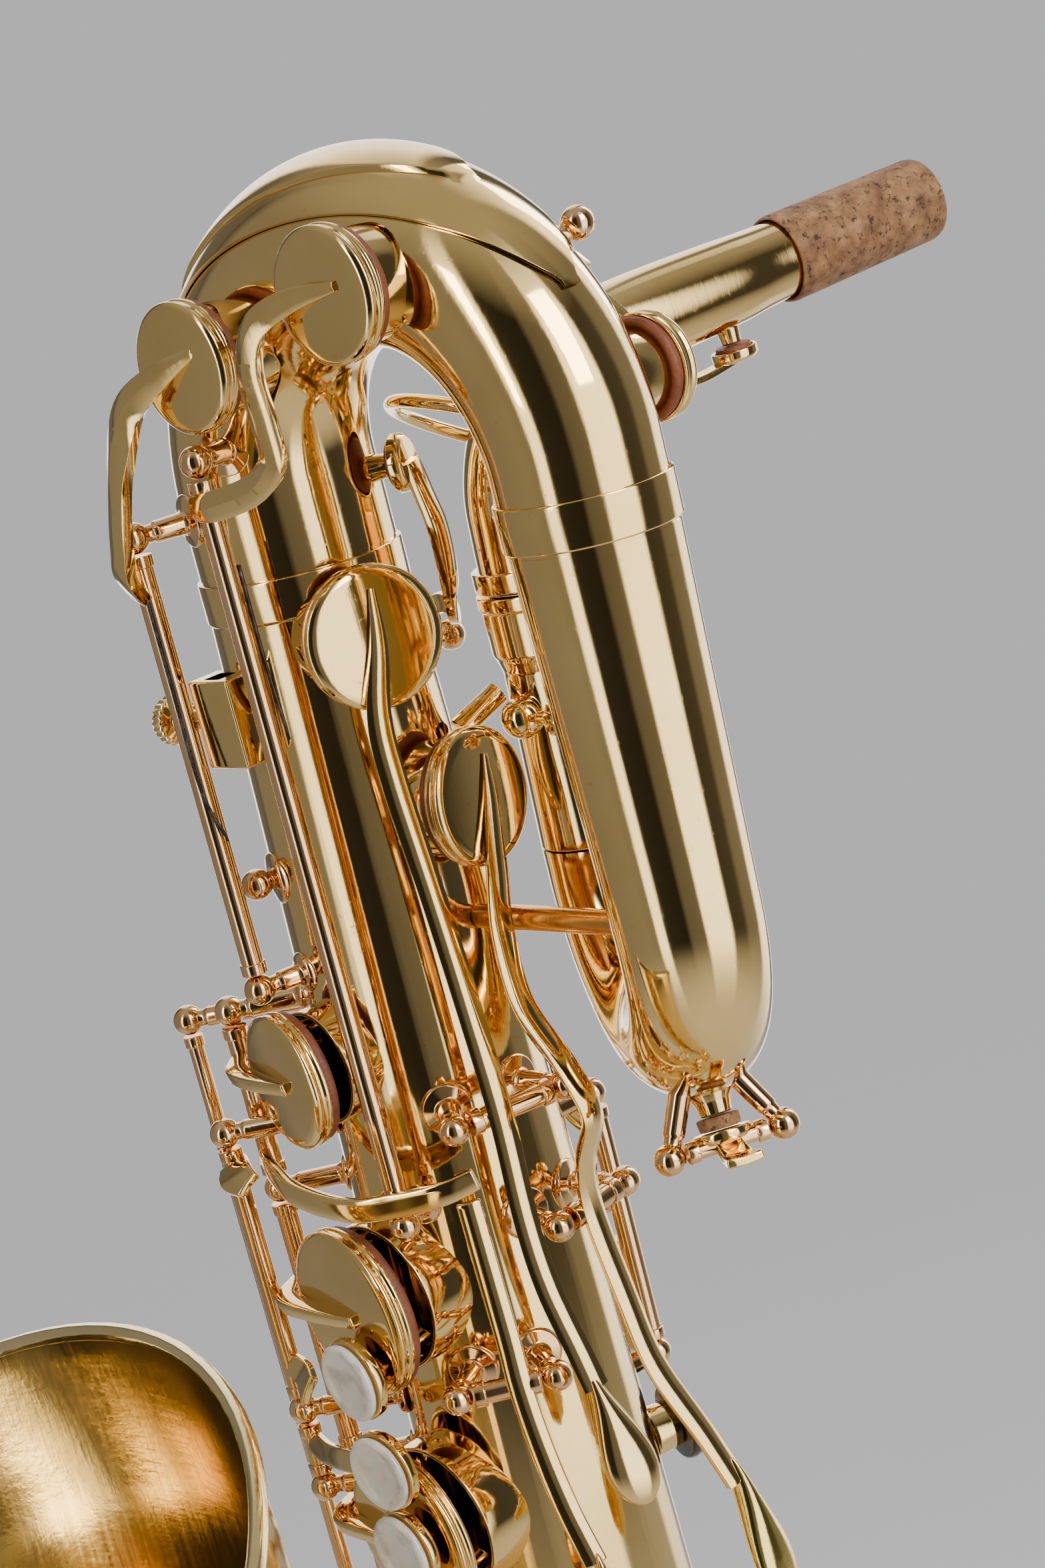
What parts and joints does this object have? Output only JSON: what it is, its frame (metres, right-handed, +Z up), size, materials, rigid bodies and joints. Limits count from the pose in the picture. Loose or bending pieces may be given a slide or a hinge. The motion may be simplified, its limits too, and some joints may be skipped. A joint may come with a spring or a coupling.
{
  "type": "baritone saxophone",
  "caption": "Full-length baritone saxophone with a low A bell, looped upper bow, corked neck, palm-key levers, pad cups on upright rods, pearls and a strap ring.",
  "frame": {"origin": "middle of the strap ring's eye, on the player's side of the body tube", "axes": "+Z up along the body tube, +X to the player's left, +Y towards the player; the bell is on the -Y side"},
  "size_m": [0.1968, 0.3968, 1.0037],
  "materials": {
    "lacquered_brass": "gold lacquer, worn in places",
    "pad_leather": "brown-red leather",
    "cork": "natural cork with dark pits",
    "mother_of_pearl": "polished white shell",
    "black_plastic": "polished black"
  },
  "bodies": {
    "a_key": {"a_key": "lacquered_brass", "a_pearl": "mother_of_pearl"},
    "b_key": {"b_key": "lacquered_brass", "b_pad": "pad_leather", "b_pearl": "mother_of_pearl"},
    "back_f_key": {"back_f_key": "lacquered_brass", "back_f_pad": "pad_leather"},
    "frame": {"bell": "lacquered_brass", "bell_brace": "lacquered_brass", "body_tube": "lacquered_brass", "bottom_bow": "lacquered_brass", "bow_guard": "lacquered_brass", "loop_brace": "lacquered_brass", "loop_tube": "lacquered_brass", "lyre_holder": "lacquered_brass", "receiver_brace": "lacquered_brass", "receiver_tube": "lacquered_brass", "strap_ring": "lacquered_brass", "thumb_hook": "lacquered_brass", "thumb_rest": "black_plastic", "upper_bow": "lacquered_brass"},
    "bis_key": {"bis_key": "lacquered_brass", "bis_pearl": "mother_of_pearl"},
    "body_octave_key": {"body_octave_key": "lacquered_brass", "body_octave_pad": "pad_leather"},
    "c_key": {"c_key": "lacquered_brass", "c_pad": "pad_leather"},
    "d_key": {"d_key": "lacquered_brass"},
    "e_key": {"e_key": "lacquered_brass"},
    "f_key": {"f_key": "lacquered_brass"},
    "front_f_key": {"front_f_key": "lacquered_brass"},
    "g_key": {"g_key": "lacquered_brass", "g_pearl": "mother_of_pearl"},
    "g_sharp_key": {"g_sharp_key": "lacquered_brass"},
    "high_e_key": {"high_e_key": "lacquered_brass", "high_e_pad": "pad_leather"},
    "high_f_sharp_key": {"high_f_sharp_key": "lacquered_brass", "high_f_sharp_pad": "pad_leather"},
    "low_a_key": {"low_a_key": "lacquered_brass"},
    "low_b_flat_key": {"low_b_flat_key": "lacquered_brass"},
    "low_b_key": {"low_b_key": "lacquered_brass"},
    "low_c_key": {"low_c_key": "lacquered_brass"},
    "low_e_flat_key": {"low_e_flat_key": "lacquered_brass"},
    "lyre_screw": {"lyre_screw": "lacquered_brass"},
    "neck": {"neck": "lacquered_brass", "neck_cork": "cork"},
    "neck_octave_key": {"neck_octave_key": "lacquered_brass", "neck_octave_pad": "pad_leather"},
    "palm_d_key": {"palm_d_key": "lacquered_brass"},
    "palm_e_flat_key": {"palm_e_flat_key": "lacquered_brass", "palm_e_flat_pad": "pad_leather"},
    "palm_f_key": {"palm_f_key": "lacquered_brass", "palm_f_pad": "pad_leather"},
    "receiver_screw": {"receiver_screw": "lacquered_brass"},
    "side_b_flat_key": {"side_b_flat_key": "lacquered_brass"},
    "side_c_key": {"side_c_key": "lacquered_brass"},
    "side_e_key": {"side_e_key": "lacquered_brass"},
    "thumb_octave_lever": {"thumb_octave_lever": "lacquered_brass"},
    "water_key": {"water_key": "lacquered_brass", "water_key_cork": "cork"}
  },
  "joints": [
    {"name": "receiver_screw_turn", "type": "hinge", "parent": "frame", "child": "receiver_screw", "pos_m": [0.03887, -0.02082, 0.25665], "axis": [0.9986, -0.0523, 0], "continuous": true},
    {"name": "neck_swivel", "type": "hinge", "parent": "frame", "child": "neck", "pos_m": [0.034, -0.00775, 0.283], "axis": [0, 0, 1], "range_deg": [-25, 25]},
    {"name": "neck_octave_key_turn", "type": "hinge", "parent": "neck", "child": "neck_octave_key", "pos_m": [0.04364, 0.02823, 0.31486], "axis": [-0.9659, 0.2588, 0], "range_deg": [0, 3], "stiffness_Nm_per_rad": 0.0343, "springref_deg": -20.05},
    {"name": "lyre_screw_turn", "type": "hinge", "parent": "frame", "child": "lyre_screw", "pos_m": [-0.00733, -0.06824, 0.273], "axis": [-0.9998, 0.0175, 0], "continuous": true},
    {"name": "palm_f_key_turn", "type": "hinge", "parent": "frame", "child": "palm_f_key", "pos_m": [0.03417, -0.05162, 0.181], "axis": [0.3032, 0.9529, 0], "range_deg": [0, 2.2], "stiffness_Nm_per_rad": 0.1328, "springref_deg": -20.05},
    {"name": "palm_e_flat_key_turn", "type": "hinge", "parent": "frame", "child": "palm_e_flat_key", "pos_m": [0.03728, -0.03867, 0.153], "axis": [-0.0558, 0.9984, 0], "range_deg": [0, 3], "stiffness_Nm_per_rad": 0.0963, "springref_deg": -20.05},
    {"name": "palm_d_key_turn", "type": "hinge", "parent": "frame", "child": "palm_d_key", "pos_m": [0.02795, -0.06682, 0.122], "axis": [0.682, 0.7314, 0], "range_deg": [0, 2.5], "stiffness_Nm_per_rad": 0.0343, "springref_deg": -20.05},
    {"name": "high_e_key_turn", "type": "hinge", "parent": "frame", "child": "high_e_key", "pos_m": [-0.01003, -0.07355, 0.264], "axis": [0, 0, -1], "range_deg": [0, 6], "stiffness_Nm_per_rad": 0.0396, "springref_deg": -20.05},
    {"name": "high_f_sharp_key_turn", "type": "hinge", "parent": "frame", "child": "high_f_sharp_key", "pos_m": [0.01534, -0.07221, 0.2445], "axis": [0, 0, -1], "range_deg": [0, 6], "stiffness_Nm_per_rad": 0.0674, "springref_deg": -20.05},
    {"name": "back_f_key_turn", "type": "hinge", "parent": "frame", "child": "back_f_key", "pos_m": [0.07279, -0.0176, 0.34416], "axis": [0.5492, 0, 0.8357], "range_deg": [0, 6], "stiffness_Nm_per_rad": 0.0343, "springref_deg": -20.05},
    {"name": "body_octave_key_turn", "type": "hinge", "parent": "frame", "child": "body_octave_key", "pos_m": [-0.00473, -0.00907, 0.272], "axis": [-0.989, -0.1478, 0], "range_deg": [0, 4], "stiffness_Nm_per_rad": 0.0343, "springref_deg": -20.05},
    {"name": "thumb_octave_lever_turn", "type": "hinge", "parent": "frame", "child": "thumb_octave_lever", "pos_m": [0.00566, -0.00287, 0.1275], "axis": [0, 0, 1], "range_deg": [0, 4], "stiffness_Nm_per_rad": 0.0343, "springref_deg": -20.05},
    {"name": "c_key_turn", "type": "hinge", "parent": "frame", "child": "c_key", "pos_m": [-0.03047, -0.06818, 0.18425], "axis": [0, 0, -1], "range_deg": [-6, 0], "stiffness_Nm_per_rad": 0.0433, "springref_deg": 20.05},
    {"name": "b_key_turn", "type": "hinge", "parent": "frame", "child": "b_key", "pos_m": [-0.03047, -0.06818, 0.129], "axis": [0, 0, -1], "range_deg": [-6, 0], "stiffness_Nm_per_rad": 0.0972, "springref_deg": 20.05},
    {"name": "a_key_turn", "type": "hinge", "parent": "frame", "child": "a_key", "pos_m": [-0.03047, -0.06818, 0.0775], "axis": [0, 0, -1], "range_deg": [-4.5, 0], "stiffness_Nm_per_rad": 0.0989, "springref_deg": 20.05},
    {"name": "g_key_turn", "type": "hinge", "parent": "frame", "child": "g_key", "pos_m": [-0.03047, -0.06818, 0.034], "axis": [0, 0, -1], "range_deg": [-6, 0], "stiffness_Nm_per_rad": 0.1023, "springref_deg": 20.05},
    {"name": "f_key_turn", "type": "hinge", "parent": "frame", "child": "f_key", "pos_m": [-0.03404, -0.076, -0.044], "axis": [0, 0, -1], "range_deg": [-8, 0], "stiffness_Nm_per_rad": 0.1386, "springref_deg": 20.05},
    {"name": "e_key_turn", "type": "hinge", "parent": "frame", "child": "e_key", "pos_m": [-0.03404, -0.076, -0.103], "axis": [0, 0, -1], "range_deg": [-8, 0], "stiffness_Nm_per_rad": 0.1545, "springref_deg": 20.05},
    {"name": "d_key_turn", "type": "hinge", "parent": "frame", "child": "d_key", "pos_m": [-0.03404, -0.076, -0.166], "axis": [0, 0, -1], "range_deg": [-8, 0], "stiffness_Nm_per_rad": 0.1775, "springref_deg": 20.05},
    {"name": "low_c_key_turn", "type": "hinge", "parent": "frame", "child": "low_c_key", "pos_m": [-0.03404, -0.076, -0.34], "axis": [0, 0, -1], "range_deg": [-7, 0], "stiffness_Nm_per_rad": 0.1983, "springref_deg": 20.05},
    {"name": "front_f_key_turn", "type": "hinge", "parent": "frame", "child": "front_f_key", "pos_m": [-0.03182, -0.07735, 0.146], "axis": [0, 0, 1], "range_deg": [0, 2.5], "stiffness_Nm_per_rad": 0.0343, "springref_deg": -20.05},
    {"name": "bis_key_turn", "type": "hinge", "parent": "frame", "child": "bis_key", "pos_m": [-0.03182, -0.07735, 0.10225], "axis": [0, 0, -1], "range_deg": [-1, 0], "stiffness_Nm_per_rad": 0.0343, "springref_deg": 20.05},
    {"name": "side_e_key_turn", "type": "hinge", "parent": "frame", "child": "side_e_key", "pos_m": [-0.04303, -0.07065, 0.03575], "axis": [0, 0, -1], "range_deg": [0, 5], "stiffness_Nm_per_rad": 0.0343, "springref_deg": -20.05},
    {"name": "side_c_key_turn", "type": "hinge", "parent": "frame", "child": "side_c_key", "pos_m": [-0.01808, -0.00676, 0.146], "axis": [0, 0, -1], "range_deg": [0, 6], "stiffness_Nm_per_rad": 0.0368, "springref_deg": -20.05},
    {"name": "side_b_flat_key_turn", "type": "hinge", "parent": "frame", "child": "side_b_flat_key", "pos_m": [-0.01808, -0.00676, 0.097], "axis": [0, 0, -1], "range_deg": [0, 6], "stiffness_Nm_per_rad": 0.0424, "springref_deg": -20.05},
    {"name": "g_sharp_key_turn", "type": "hinge", "parent": "frame", "child": "g_sharp_key", "pos_m": [0.02572, -0.07889, 0.001], "axis": [0, 0, -1], "range_deg": [0, 6], "stiffness_Nm_per_rad": 0.0551, "springref_deg": -20.05},
    {"name": "low_e_flat_key_turn", "type": "hinge", "parent": "frame", "child": "low_e_flat_key", "pos_m": [0.05047, -0.03899, -0.245], "axis": [0, 0, 1], "range_deg": [0, 6], "stiffness_Nm_per_rad": 0.1621, "springref_deg": -20.05},
    {"name": "low_b_key_turn", "type": "hinge", "parent": "frame", "child": "low_b_key", "pos_m": [-0.04555, -0.2363, -0.311], "axis": [-0.0175, -0.0175, 0.9997], "range_deg": [-6, 0], "stiffness_Nm_per_rad": 0.2895, "springref_deg": 20.05},
    {"name": "low_b_flat_key_turn", "type": "hinge", "parent": "frame", "child": "low_b_flat_key", "pos_m": [-0.04706, -0.23781, -0.2235], "axis": [-0.0171, -0.0171, 0.9997], "range_deg": [-6, 0], "stiffness_Nm_per_rad": 0.3176, "springref_deg": 20.05},
    {"name": "low_a_key_turn", "type": "hinge", "parent": "frame", "child": "low_a_key", "pos_m": [0.04624, -0.23238, -0.4], "axis": [0.0182, -0.0164, 0.9997], "range_deg": [-6, 0], "stiffness_Nm_per_rad": 0.353, "springref_deg": 20.05},
    {"name": "water_key_turn", "type": "hinge", "parent": "frame", "child": "water_key", "pos_m": [0.07728, -0.0342, 0.16945], "axis": [-0.5214, -0.8533, 0], "range_deg": [0, 6], "stiffness_Nm_per_rad": 0.0343, "springref_deg": -20.05}
  ],
  "couplings": [
    {"joint": "palm_d_key_turn", "follows": "high_f_sharp_key_turn", "ratio": 0.4}
  ]
}
